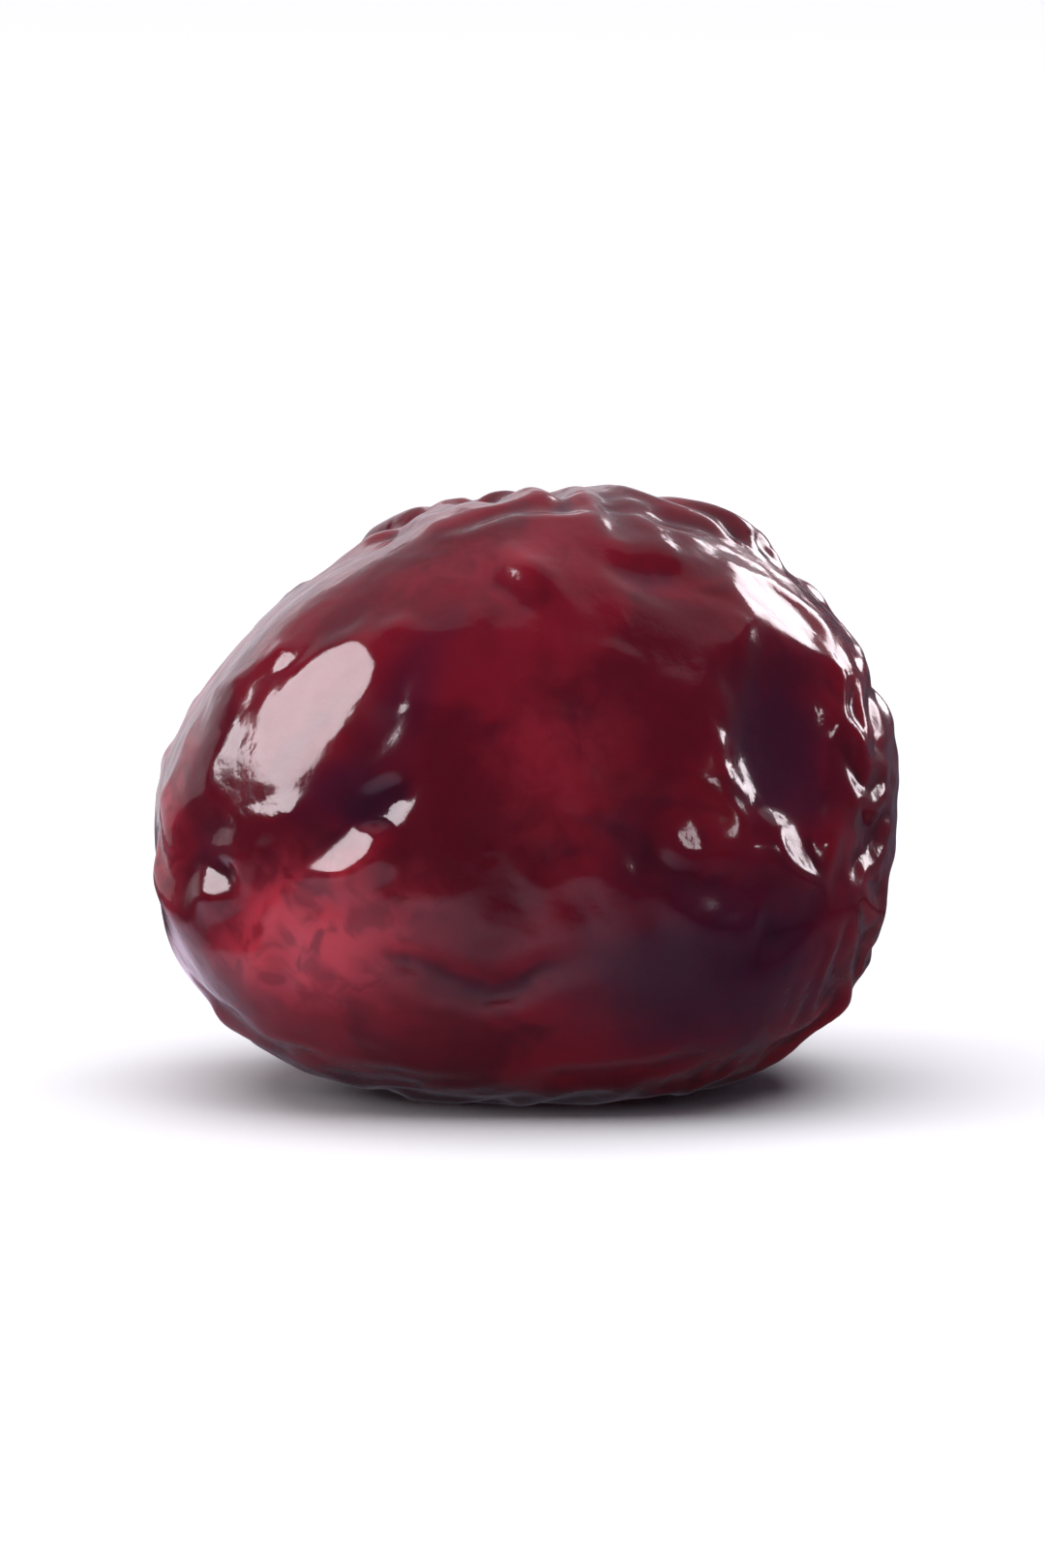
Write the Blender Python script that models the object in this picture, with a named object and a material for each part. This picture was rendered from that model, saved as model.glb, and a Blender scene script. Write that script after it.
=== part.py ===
"""A dried sour cherry at its real size: one fruit, one solid, lying on a small flat spot.

Units are metres, +Z is up, -Y is the side that faces the viewer, and the origin is on the resting
surface under the middle of the fruit. The blossom end faces front right, the stem end back left.
Every form is a height over a plain round body, given by a formula of the direction from its middle.
"""

import math

import bmesh
import bpy
import numpy as np
from mathutils import Vector, noise

MM = 0.001
FRONT = -1
BACK = 1

# The body before the skin sinks: its size, and how square its outline is above and below the waist
LENGTH = 16.1 * MM
DEPTH = 14.3 * MM
HEIGHT = 13.2 * MM
LEAN = -0.03
UPPER_ROUNDNESS = 2.0
LOWER_ROUNDNESS = 2.5
WAIST_TOP = 0.35
WAIST_BOTTOM = -0.45

# Distances along the skin are measured on a ball of this radius, out to the edge of one side
SKIN_RADIUS = 7.1 * MM
EDGE_OUTER = 0.15
EDGE_INNER = 0.45

# The flat spot that the fruit lies on, and the smooth skin round it
SINK = 0.21 * MM
SPOT_FILLET = 0.08 * MM
SPOT_RADIUS = 2.2 * MM
SPOT_BORDER = 2.2 * MM

# The mesh: an icosphere with each of its edges cut again
ICOSPHERE_LEVEL = 4
CUTS = 2

# Broad forms: x and z from the body's middle, the side or 0 for the outline, radius, height
SWELLS = (
    (5.6 * MM, 4.2 * MM, 0, 3.2 * MM, 0.30 * MM),
    (-5.0 * MM, 4.4 * MM, 0, 3.8 * MM, -0.95 * MM),
    (-7.0 * MM, 2.2 * MM, 0, 2.6 * MM, -0.32 * MM),
    (-2.0 * MM, 6.0 * MM, 0, 2.6 * MM, -0.20 * MM),
    (6.3 * MM, -3.4 * MM, 0, 3.2 * MM, 0.16 * MM),
    (-6.4 * MM, -2.4 * MM, 0, 3.0 * MM, 0.15 * MM),
    (-0.4 * MM, 2.2 * MM, FRONT, 3.6 * MM, 0.22 * MM),
    (0.2 * MM, -2.9 * MM, FRONT, 2.6 * MM, -0.10 * MM),
    (1.6 * MM, 1.2 * MM, BACK, 3.4 * MM, -0.35 * MM),
)

# Hollows of the side that shows: x, z, half length, half width, turn in degrees, depth
FRONT_HOLLOWS = (
    (-4.5 * MM, 2.5 * MM, 2.10 * MM, 1.20 * MM, 52.0, 0.17 * MM),
    (-2.9 * MM, 0.5 * MM, 1.00 * MM, 0.74 * MM, 40.0, 0.30 * MM),
    (-6.4 * MM, -0.8 * MM, 1.20 * MM, 0.80 * MM, 75.0, 0.30 * MM),
    (-4.7 * MM, -2.5 * MM, 1.00 * MM, 0.75 * MM, 20.0, 0.20 * MM),
    (2.2 * MM, 0.4 * MM, 1.70 * MM, 0.75 * MM, -16.0, 0.15 * MM),
    (3.2 * MM, 4.9 * MM, 1.50 * MM, 0.80 * MM, -35.0, 0.20 * MM),
    (-1.2 * MM, 5.0 * MM, 1.90 * MM, 0.80 * MM, 22.0, 0.15 * MM),
    (-0.9 * MM, -2.7 * MM, 2.30 * MM, 0.80 * MM, -4.0, 0.16 * MM),
    (4.9 * MM, -2.4 * MM, 1.60 * MM, 0.90 * MM, 30.0, 0.20 * MM),
    (2.0 * MM, 2.6 * MM, 1.30 * MM, 0.90 * MM, 70.0, 0.12 * MM),
)

# Creases of the side that shows: x, z, half length, turn in degrees, bend, depth
FRONT_CREASES = (
    (-0.9 * MM, -3.2 * MM, 1.80 * MM, -5.0, -0.10, 0.16 * MM),
    (2.6 * MM, -0.4 * MM, 1.50 * MM, -16.0, 0.12, 0.12 * MM),
    (-3.3 * MM, 1.9 * MM, 1.50 * MM, 72.0, 0.05, 0.14 * MM),
    (-5.6 * MM, -1.6 * MM, 1.20 * MM, 48.0, -0.08, 0.14 * MM),
    (4.6 * MM, -1.6 * MM, 1.20 * MM, -38.0, 0.08, 0.12 * MM),
    (1.5 * MM, 1.6 * MM, 1.30 * MM, 112.0, 0.06, 0.08 * MM),
)

# Small ridges of the side that shows, which catch the light: x, z, half length, turn, height
FRONT_RIDGES = (
    (0.3 * MM, 5.2 * MM, 0.80 * MM, -42.0, 0.13 * MM),
    (2.3 * MM, 3.5 * MM, 0.35 * MM, 20.0, 0.10 * MM),
    (3.4 * MM, -0.9 * MM, 0.50 * MM, -10.0, 0.13 * MM),
    (-3.6 * MM, -0.7 * MM, 0.80 * MM, 12.0, 0.13 * MM),
)

# The hollow at the blossom end, with its uneven rim and the dry point where the flower sat
BLOSSOM_X = 5.7 * MM
BLOSSOM_Z = 1.6 * MM
BLOSSOM_TURN = 25.0
BLOSSOM_HALF_LENGTH = 1.95 * MM
BLOSSOM_HALF_WIDTH = 1.60 * MM
BLOSSOM_DEPTH = 0.30 * MM
BOWL_REACH = 0.95
RIM_HEIGHT = 0.15 * MM
RIM_PLACE = 1.15
RIM_WIDTH = 0.36
RIM_SWAY = 0.55
RIM_SIDE = 1.9
POINT_SHIFT = -0.35 * MM
POINT_RADIUS = 0.34 * MM
POINT_HEIGHT = 0.10 * MM

# The stem end: a cavity, the puckers that it draws in, and the scar on its floor
STEM_X = -4.6 * MM
STEM_Z = 1.9 * MM
CAVITY_RADIUS = 2.2 * MM
CAVITY_DEPTH = 0.85 * MM
SCAR_RADIUS = 1.10 * MM
SCAR_BORDER = 0.50 * MM
SCAR_HEIGHT = 0.26 * MM
SCAR_PIT = 0.20 * MM
PIT_RADIUS = 0.42 * MM
PUCKERS = 11
PUCKER_SPACING = (0.9, 0.5)
PUCKER_TWIST = 0.35
PUCKER_DEPTH = 0.26 * MM
PUCKER_LEVEL = 0.75
PUCKER_SOFTNESS = 0.06
PUCKER_SHARPNESS = 0.25
PUCKER_PEAK = 2.6 * MM
PUCKER_SPREAD = 1.15 * MM

# The net of ridges left between the places where the drying skin has sunk
SEED = 41
HOLLOWS = 62
HOLLOW_LENGTH = (1.5 * MM, 2.9 * MM)
HOLLOW_WIDTH = (0.9 * MM, 1.7 * MM)
HOLLOW_DEPTH = (0.16 * MM, 0.50 * MM)
RIDGE_SOFTNESS = 0.040 * MM
OUTSIDE = 20.0
LARGEST_POWER = 60.0

# The creases across it
FOLDS = 110
FOLD_LENGTH = (0.8 * MM, 2.4 * MM)
FOLD_DEPTH = (0.08 * MM, 0.25 * MM)
FOLD_BEND = 0.10
CREASE_WIDTH = 0.36 * MM
CREASE_LIP = 0.42

# How hollows and creases lie: near the stem end they point to it, further away they turn more freely
TURN_NEAR = 18.0
TURN_FAR = 60.0
JITTER = 0.30

# The front stays full and smooth: a cone of directions, in degrees, and the share of relief left there
CALM_TOWARD = Vector((-0.10, -1.0, 0.06))
CALM_INNER = 46.0
CALM_OUTER = 96.0
CALM_LEFT = 0.14

# Slow unevenness all over, and the drift that keeps rings and creases from looking drawn
WAVE_SIZE = 4.4 * MM
WAVE_HEIGHT = 0.19 * MM
WAVE_LAYERS = 2
DRIFT_SIZE = 2.0 * MM
DRIFT_LENGTH = 0.42 * MM
DRIFT_LAYERS = 2
DRIFT_STARTS = (Vector((11.0, 0.0, 0.0)), Vector((0.0, 23.0, 0.0)), Vector((0.0, 0.0, 37.0)))

# Each layer of noise next to the one before: how many times smaller its waves are, and its fall in height
LAYER_RATIO = 2.0
LAYER_FALL = 1.0

SKIN_COLOUR = (0.105, 0.004, 0.012, 1.0)
SKIN_ROUGHNESS = 0.22


def clear_scene():
    """Removes whatever the scene holds."""
    for obj in list(bpy.data.objects):
        bpy.data.objects.remove(obj, do_unlink=True)


def unit(vectors):
    """The same vectors, each one long."""
    return vectors / np.linalg.norm(vectors, axis=-1, keepdims=True)


def smooth_step(low, high, value):
    """0 at low, 1 at high, and a smooth change between."""
    share = np.clip((value - low) / (high - low), 0.0, 1.0)
    return share * share * (3.0 - 2.0 * share)


def bump(distance, radius):
    """A smooth hill, 1 at its top and near 0 past its radius."""
    return np.exp(-((distance / radius) ** 2))


def plateau(distance, radius):
    """A hill with a flat top, 1 over most of its radius."""
    return np.exp(-((distance / radius) ** 4))


def body_radius(directions):
    """Distance from the middle to the plain body: round above, squarer below where it has slumped."""
    half_sizes = np.array((LENGTH, DEPTH, HEIGHT)) / 2.0
    below = smooth_step(WAIST_TOP, WAIST_BOTTOM, directions[:, 2])
    power = UPPER_ROUNDNESS + (LOWER_ROUNDNESS - UPPER_ROUNDNESS) * below
    terms = np.abs(directions / half_sizes) ** power[:, None]
    return terms.sum(axis=1) ** (-1.0 / power)


def toward(x, z, side):
    """The direction from the middle to the place on the body that is seen at x, z from the side."""
    height = np.clip(1.0 - (2.0 * x / LENGTH) ** 2 - (2.0 * z / HEIGHT) ** 2, 0.0, 1.0)
    return unit(np.array((x, side * DEPTH / 2.0 * math.sqrt(height), z)))


def tangents(place, turn):
    """Two directions along the skin at a place: the first is turned this many degrees up from level."""
    level = unit(np.cross((0.0, 0.0, 1.0), place))
    upright = np.cross(place, level)
    angle = math.radians(turn)
    along = math.cos(angle) * level + math.sin(angle) * upright
    return along, np.cross(place, along)


def local_place(directions, place, turn):
    """Distances along and across from a place on the skin, and 1 on its own side of the fruit or 0."""
    along, across = tangents(place, turn)
    same_side = smooth_step(EDGE_OUTER, EDGE_INNER, directions @ place)
    return SKIN_RADIUS * (directions @ along), SKIN_RADIUS * (directions @ across), same_side


def distance_from(directions, place):
    """Distance along the skin from a place on it."""
    return SKIN_RADIUS * np.arccos(np.clip(directions @ place, -1.0, 1.0))


def layered_noise(directions, size, layers, start=Vector()):
    """Smooth noise with waves of the given size along the skin, between about -1 and 1."""
    scale = SKIN_RADIUS / size
    places = [Vector(one) * scale + start for one in directions]
    return np.array([noise.fractal(place, LAYER_FALL, LAYER_RATIO, layers) for place in places])


def drift(directions):
    """The same directions, each moved a little along the skin."""
    shifts = [layered_noise(directions, DRIFT_SIZE, DRIFT_LAYERS, start) for start in DRIFT_STARTS]
    return unit(directions + DRIFT_LENGTH / SKIN_RADIUS * np.column_stack(shifts))


def waves(directions):
    """Slow unevenness, so that no stretch stays a plain ellipsoid."""
    return WAVE_HEIGHT * layered_noise(directions, WAVE_SIZE, WAVE_LAYERS)


def swell(directions):
    """The broad forms that turn the plain body into this fruit."""
    height = np.zeros(len(directions))
    for x, z, side, radius, rise in SWELLS:
        height += rise * bump(distance_from(directions, toward(x, z, side)), radius)
    return height


def calm(directions):
    """1 where the skin stays full and smooth, and 0 where it has crumpled."""
    front = np.array(CALM_TOWARD.normalized())
    angle = np.degrees(np.arccos(np.clip(directions @ front, -1.0, 1.0)))
    return smooth_step(CALM_OUTER, CALM_INNER, angle)


def scattered(count, rng):
    """Directions spread evenly over the fruit on a spiral, each moved a little at random."""
    golden_angle = math.pi * (3.0 - math.sqrt(5.0))
    spacing = math.sqrt(4.0 * math.pi / count)
    places = []
    for index in range(count):
        height = 1.0 - 2.0 * (index + 0.5) / count
        ring = math.sqrt(1.0 - height * height)
        angle = index * golden_angle
        place = np.array((ring * math.cos(angle), ring * math.sin(angle), height))
        places.append(unit(place + rng.normal(0.0, JITTER * spacing, 3)))
    return places


def turn_round_stem(place, rng):
    """A turn that points from a place towards the stem end, less strictly further away."""
    stem = toward(STEM_X, STEM_Z, BACK)
    along, across = tangents(place, 0.0)
    towards_stem = math.degrees(math.atan2(stem @ across, stem @ along))
    distance_share = (1.0 - place @ stem) / 2.0
    return towards_stem + rng.normal(0.0, TURN_NEAR + TURN_FAR * distance_share)


def hollow(directions, place, half_length, half_width, turn, depth):
    """A bowl in the skin, above 0 where it has sunk and ever further below 0 outside it."""
    along, across, same_side = local_place(directions, place, turn)
    bowl = depth * (1.0 - (along / half_length) ** 2 - (across / half_width) ** 2)
    return np.where(same_side > 0.0, bowl, -depth * OUTSIDE)


def ridge_net(directions):
    """How far the skin has sunk: overlapping bowls leave a ridge where they meet."""
    rng = np.random.default_rng(SEED)
    smooth_front = calm(directions)
    bowls = []
    for place in scattered(HOLLOWS, rng):
        half_length = rng.uniform(*HOLLOW_LENGTH)
        half_width = rng.uniform(*HOLLOW_WIDTH)
        depth = rng.uniform(*HOLLOW_DEPTH)
        turn = turn_round_stem(place, rng)
        bowl = hollow(directions, place, half_length, half_width, turn, depth)
        bowls.append(np.minimum(bowl, bowl * (1.0 - (1.0 - CALM_LEFT) * smooth_front)))
    for x, z, half_length, half_width, turn, depth in FRONT_HOLLOWS:
        bowls.append(hollow(directions, toward(x, z, FRONT), half_length, half_width, turn, depth))
    powers = np.clip(np.array(bowls) / RIDGE_SOFTNESS, -LARGEST_POWER, LARGEST_POWER)
    return RIDGE_SOFTNESS * np.log1p(np.exp(powers).sum(axis=0))


def crease(directions, place, half_length, turn, bend, depth):
    """A narrow groove with a raised lip on each side, fading to nothing at its ends."""
    along, across, same_side = local_place(directions, place, turn)
    across = across + bend * along * along / MM
    lips = CREASE_LIP * bump(np.abs(across) - 2.0 * CREASE_WIDTH, CREASE_WIDTH)
    return depth * same_side * plateau(along, half_length) * (lips - bump(across, CREASE_WIDTH))


def ridge(directions, place, half_length, turn, height):
    """A narrow raised fold of skin."""
    along, across, same_side = local_place(directions, place, turn)
    return height * same_side * plateau(along, half_length) * bump(across, CREASE_WIDTH)


def folds(directions):
    """The scattered creases, fainter on the smooth front, and the folds that have their own place there."""
    rng = np.random.default_rng(SEED + 1)
    height = np.zeros(len(directions))
    for place in scattered(FOLDS, rng):
        half_length = rng.uniform(*FOLD_LENGTH)
        left = 1.0 - (1.0 - CALM_LEFT) * calm(place[None, :])[0]
        depth = left * rng.uniform(*FOLD_DEPTH)
        turn = turn_round_stem(place, rng)
        height += crease(directions, place, half_length, turn, rng.normal(0.0, FOLD_BEND), depth)
    for x, z, half_length, turn, bend, depth in FRONT_CREASES:
        height += crease(directions, toward(x, z, FRONT), half_length, turn, bend, depth)
    for x, z, half_length, turn, rise in FRONT_RIDGES:
        height += ridge(directions, toward(x, z, FRONT), half_length, turn, rise)
    return height


def blossom_end(directions):
    """A shallow oval hollow with an uneven rim, and a small point near its middle."""
    place = toward(BLOSSOM_X, BLOSSOM_Z, FRONT)
    along, across, same_side = local_place(directions, place, BLOSSOM_TURN)
    distance = np.hypot(along / BLOSSOM_HALF_LENGTH, across / BLOSSOM_HALF_WIDTH)
    sway = 1.0 + RIM_SWAY * np.cos(np.arctan2(across, along) - RIM_SIDE)
    rim = RIM_HEIGHT * sway * bump(distance - RIM_PLACE, RIM_WIDTH)
    point = POINT_HEIGHT * bump(np.hypot(along - POINT_SHIFT, across - POINT_SHIFT), POINT_RADIUS)
    return same_side * (rim + point - BLOSSOM_DEPTH * plateau(distance, BOWL_REACH))


def stem_end(directions):
    """The cavity, the puckers that run into it, and the scar with its pit."""
    place = toward(STEM_X, STEM_Z, BACK)
    along, across, same_side = local_place(directions, place, 0.0)
    distance = distance_from(directions, place)
    angle = np.arctan2(across, along)
    wide, narrow = PUCKER_SPACING
    wander = wide * np.sin(2.0 * angle) + narrow * np.sin(3.0 * angle) + PUCKER_TWIST * distance / MM
    wave = np.sin((PUCKERS * angle + wander) / 2.0) ** 2
    furrow = (wave + PUCKER_SOFTNESS) ** PUCKER_SHARPNESS - PUCKER_LEVEL
    puckers = PUCKER_DEPTH * same_side * furrow * bump(distance - PUCKER_PEAK, PUCKER_SPREAD)
    scar = SCAR_HEIGHT * plateau(distance, SCAR_RADIUS) - SCAR_PIT * bump(distance, PIT_RADIUS)
    return puckers + scar - CAVITY_DEPTH * bump(distance, CAVITY_RADIUS)


def unwrinkled(directions):
    """1 over the spot that the fruit lies on and over the scar, and 0 away from them."""
    from_spot = distance_from(directions, np.array((0.0, 0.0, -1.0)))
    from_scar = distance_from(directions, toward(STEM_X, STEM_Z, BACK))
    on_spot = smooth_step(SPOT_RADIUS + SPOT_BORDER, SPOT_RADIUS, from_spot)
    on_scar = smooth_step(SCAR_RADIUS + SCAR_BORDER, SCAR_RADIUS, from_scar)
    return np.maximum(on_spot, on_scar)


def surface(directions):
    """The points of the dried skin, in the directions given, round the middle of the body."""
    drifted = drift(directions)
    relief = waves(directions) - ridge_net(drifted) + folds(drifted)
    relief *= 1.0 - unwrinkled(drifted)
    relief += swell(directions) + blossom_end(drifted) + stem_end(drifted)
    points = directions * (body_radius(directions) + relief)[:, None]
    points[:, 0] += LEAN * points[:, 2]
    return points


def settle(points):
    """Stands the fruit on z = 0: what would go below is flat, and the skin rounds up from it."""
    lowest = surface(np.array([(0.0, 0.0, -1.0)]))[0, 2]
    height = points[:, 2] - lowest - SINK
    rounded = (height + SPOT_FILLET) ** 2 / (4.0 * SPOT_FILLET)
    points[:, 2] = np.where(height > SPOT_FILLET, height, np.where(height < -SPOT_FILLET, 0.0, rounded))
    middle = (points[:, :2].min(axis=0) + points[:, :2].max(axis=0)) / 2.0
    points[:, :2] -= middle
    return points


def skin_material():
    """Deep red, shiny, leathery skin."""
    material = bpy.data.materials.new("cherry_skin")
    material.use_nodes = True
    shader = material.node_tree.nodes["Principled BSDF"]
    shader.inputs["Base Color"].default_value = SKIN_COLOUR
    shader.inputs["Roughness"].default_value = SKIN_ROUGHNESS
    shader.inputs["Metallic"].default_value = 0.0
    material.diffuse_color = SKIN_COLOUR
    return material


def dried_cherry(collection):
    """The fruit: an even ball of small triangles, each point moved out or in to the dried skin."""
    form = bmesh.new()
    bmesh.ops.create_icosphere(form, subdivisions=ICOSPHERE_LEVEL, radius=1.0)
    bmesh.ops.subdivide_edges(form, edges=form.edges[:], cuts=CUTS, use_grid_fill=True)
    directions = np.array([vertex.co.normalized() for vertex in form.verts])
    for vertex, point in zip(form.verts, settle(surface(directions))):
        vertex.co = Vector(point)
    bmesh.ops.triangulate(form, faces=form.faces[:])
    mesh = bpy.data.meshes.new("dried_cherry")
    form.to_mesh(mesh)
    form.free()
    mesh.shade_smooth()
    mesh.materials.append(skin_material())
    collection.objects.link(bpy.data.objects.new("dried_cherry", mesh))


def main():
    clear_scene()
    collection = bpy.data.collections.new("dried_sour_cherry")
    bpy.context.scene.collection.children.link(collection)
    dried_cherry(collection)


main()
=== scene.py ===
"""The looks of a dried sour cherry: its fine wrinkled skin, its material and a plain pale studio.

Units are metres, in the frame of the model: +Z up, -Y towards the viewer, the origin on the
surface that the fruit lies on. The fruit's fine skin starts on the model's own surface. Then it grows
a little on the shrunken flesh that it sticks to, and buckles into wrinkles as the real skin does.
"""

import math

import bmesh
import bpy
import numpy as np
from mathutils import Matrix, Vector, noise
from mathutils.bvhtree import BVHTree


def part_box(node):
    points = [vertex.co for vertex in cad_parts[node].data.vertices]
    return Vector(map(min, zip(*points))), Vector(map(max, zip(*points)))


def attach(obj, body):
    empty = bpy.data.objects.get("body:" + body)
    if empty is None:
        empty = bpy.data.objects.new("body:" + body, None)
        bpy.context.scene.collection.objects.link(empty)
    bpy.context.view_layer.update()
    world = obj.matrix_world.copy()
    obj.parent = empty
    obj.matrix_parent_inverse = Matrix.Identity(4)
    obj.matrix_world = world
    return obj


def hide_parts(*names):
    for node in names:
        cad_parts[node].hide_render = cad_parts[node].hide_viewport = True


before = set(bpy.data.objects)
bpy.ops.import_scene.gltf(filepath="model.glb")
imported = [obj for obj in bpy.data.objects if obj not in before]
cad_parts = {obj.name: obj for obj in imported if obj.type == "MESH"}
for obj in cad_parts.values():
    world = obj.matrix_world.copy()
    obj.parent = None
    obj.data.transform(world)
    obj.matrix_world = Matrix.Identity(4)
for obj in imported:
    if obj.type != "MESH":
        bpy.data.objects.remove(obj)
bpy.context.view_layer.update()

MM = 0.001
UP = (0.0, 0.0, 1.0)
NODE = "dried_cherry"
LOW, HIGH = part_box(NODE)
MIDDLE = (LOW + HIGH) / 2.0
SKIN_RADIUS = 7.1 * MM


def toward(x, z, side):
    """The direction from the fruit's middle to a place on its skin.

    The place is x across and z above the middle, in millimetres, on the front (-1) or the back (1).
    """
    depth = math.sqrt(SKIN_RADIUS ** 2 - (x ** 2 + z ** 2) * MM ** 2) / MM
    return Vector((x, side * depth, z)).normalized()


# Where the two ends of the fruit are, as directions from its middle
STEM_END = toward(-4.6, 1.9, 1.0)
BLOSSOM_END = toward(5.7, 1.6, -1.0)

# The fine mesh: an icosphere with each of its edges cut again, 184,320 triangles
ICOSPHERE_LEVEL = 6
CUTS = 2
MODEL_SUBDIVISIONS = 1
WELD = 0.001 * MM

# A smoothing pass moves each point this share of the way to the mean of its neighbours
SMOOTHING = 0.5
FIRST_PASSES = 3
LAST_PASSES = 1

# Noise comes in layers, each with waves half as long and half as high as the one before
LAYERS = 2
LAYER_RATIO = 2.0
LAYER_FALL = 1.0

# Nothing is divided by a length below these
TINY = 1e-9
TINY_VECTOR = 1e-12

# The growing skin, worked out in millimetres. Its points keep a share of their speed, DAMPING, at each
# step. FLESH is how firmly the flesh holds them, outwards and then along the skin. The skin grows more
# around the fruit than from end to end, so its wrinkles run from end to end.
SEED = 7
FIRST_NUDGE = 0.004 * MM
GROWTH_STEPS = 260
STEP = 0.40
DAMPING = 0.90
STRETCH = 1.0
BENDING = 0.55
FLESH = 0.0080
FLESH_ALONG = 0.0015
GROWTH_ACROSS = 0.075
GROWTH_ALONG = 0.030

# How much of that growth each place has: little on the full front, more in a ring round the blossom
# end and on one flank, and uneven in patches. Angles are in degrees from a place's direction.
CALM_TOWARD = Vector((-0.18, -0.90, 0.36)).normalized()
CALM_INNER = 68.0
CALM_OUTER = 97.0
CALM_SHARE = 0.34
BLOSSOM_RING = (1.7 * MM, 1.3 * MM)
BLOSSOM_SHARE = 0.35
FLANK_TOWARD = Vector((-0.82, 0.50, 0.06)).normalized()
FLANK_SPREAD = 25.0
FLANK_SHARE = 0.45
PATCH_SIZE = 3.0 * MM
PATCH_RANGE = 0.55

# Small unevenness all over the skin
MOTTLE_HEIGHT = 0.011 * MM
MOTTLE_SIZE = 0.55 * MM

# The scar where the stem was: a dry disc with an uneven edge, which doesn't wrinkle with the skin
SCAR_RADIUS = 1.05 * MM
SCAR_BORDER = 0.28 * MM
SCAR_UNEVEN = 0.20 * MM
SCAR_WAVES = 0.70 * MM
SCAR_REACH = 2.5 * SCAR_RADIUS
SCAR_RELIEF = 0.075 * MM
SCAR_GRAIN = 0.34 * MM
SCAR_LAYERS = 3

# Forms of the side that shows are oval places where the camera sees them: millimetres to the right
# of the picture's middle and above it, half length, half width, and turn in degrees from level.
# Their edges are uneven out to NEAR times their size, and FAR_AWAY stands for the fruit's other side.
UNEVEN = 0.20
UNEVEN_SIZE = 1.3 * MM
NEAR = 3.0
FAR_AWAY = 99.0
VIEW_START = 4.0 * SKIN_RADIUS

# Facets, where the skin spans smoothly: each oval, and how often it is smoothed. They wrinkle less,
# and fade out between their edge and FACET_EDGE times their size.
FACETS = (
    (-4.45, 1.60, 2.30, 1.45, 52.0, 260),
    (5.50, 4.10, 2.10, 1.60, -38.0, 160),
    (5.45, 1.00, 2.10, 1.90, 60.0, 260),
    (-7.80, -0.30, 5.50, 2.10, 90.0, 240),
    (-5.10, 3.75, 4.20, 2.00, 44.0, 240),
)
FACET_EDGE = 1.25
FACET_CALM = 0.6

# Dents: each oval, its depth in millimetres, less than 0 for a swelling, and how flat it is: 2 is round
DENTS = (
    (5.45, 0.80, 1.75, 1.45, 70.0, 0.27, 3.4),
    (-3.00, -0.25, 0.90, 0.62, 20.0, 0.20, 2.0),
    (3.60, -0.50, 1.20, 0.40, -12.0, 0.14, 2.0),
    (1.50, -0.80, 1.20, 0.42, -4.0, 0.10, 2.0),
    (0.25, 4.40, 0.95, 0.34, -45.0, -0.06, 2.0),
    (0.05, 3.95, 1.10, 0.40, -40.0, 0.05, 2.0),
)

# Puckers across the rim of the hollow at the blossom end, which is the first dent. Their ring is at
# a distance and of a width in the hollow's own size.
PUCKER_HEIGHT = 0.075 * MM
PUCKER_SHARPNESS = 3.0
PUCKER_TURNS = 1.7
PUCKER_RING = (1.30, 0.36)
PUCKER_TWIST = 0.45

# Where the soft boxes stand: azimuth and elevation in degrees
LEFT_BOX = (-83.0, 30.0)
RIGHT_BOX = (149.0, 21.0)
SIDE_BOX = (132.0, 12.0)
SMALL_BOX = (56.0, 14.0)

# Small stretches of skin turned so that they mirror a soft box: each oval, the box, how much of the
# skin's own roundness it loses, and how deep it is sunk in millimetres. They wrinkle less as well.
# They are turned out to LIT_INNER times their size, and not at all from LIT_OUTER on.
LIT_FACETS = (
    (-4.25, 1.80, 1.75, 1.05, 55.0, LEFT_BOX, 0.75, 0.05),
    (5.30, 3.85, 1.20, 0.85, -38.0, RIGHT_BOX, 0.90, 0.10),
    (-3.65, -1.40, 0.85, 0.50, 8.0, LEFT_BOX, 0.95, 0.0),
    (-6.45, -2.10, 0.60, 0.46, 40.0, LEFT_BOX, 0.95, 0.0),
    (3.42, -1.15, 0.50, 0.42, -10.0, SMALL_BOX, 1.0, -0.03),
    (5.75, -1.40, 0.78, 0.56, -35.0, SIDE_BOX, 0.95, 0.0),
    (7.05, -0.10, 0.42, 0.30, 60.0, SIDE_BOX, 0.95, 0.0),
)
LIT_INNER = 0.80
LIT_OUTER = 1.50
LIT_BORDER = 2.0 * LIT_OUTER
LIT_PASSES = 5
LIT_CALM = 0.8

# The inside of the hollow at the blossom end, which is smoothed once the skin has grown. Its edge is
# where the smoothing starts and where it is full.
SOFT_PLACE = (5.05, 1.50, 1.70, 2.10, 0.0)
SOFT_EDGE = (1.2, 0.8)
SOFT_PASSES = 22

# Soft-edged places with their strength: where the skin wrinkles less, where a painted glow of light through
# the flesh makes it bright red, and where painted shade makes it dark purple. Their flatness is as a
# dent's.
CALM_PLACES = (
    (2.00, 1.80, 2.60, 2.00, 10.0, 0.85),
)
# Painted glow: light shining through the flesh, painted bright red in flecks, mostly on the lit left
PAINTED_GLOW_PLACES = (
    (0.80, 0.40, 2.10, 1.50, 80.0, 0.20),
    (-4.60, -3.20, 2.20, 1.50, 10.0, 0.95),
    (-1.00, 4.60, 2.40, 0.90, 20.0, 0.22),
    (-6.90, 2.00, 2.40, 0.90, 62.0, 0.75),
    (-7.60, -0.90, 2.00, 0.80, 88.0, 0.60),
)
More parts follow.
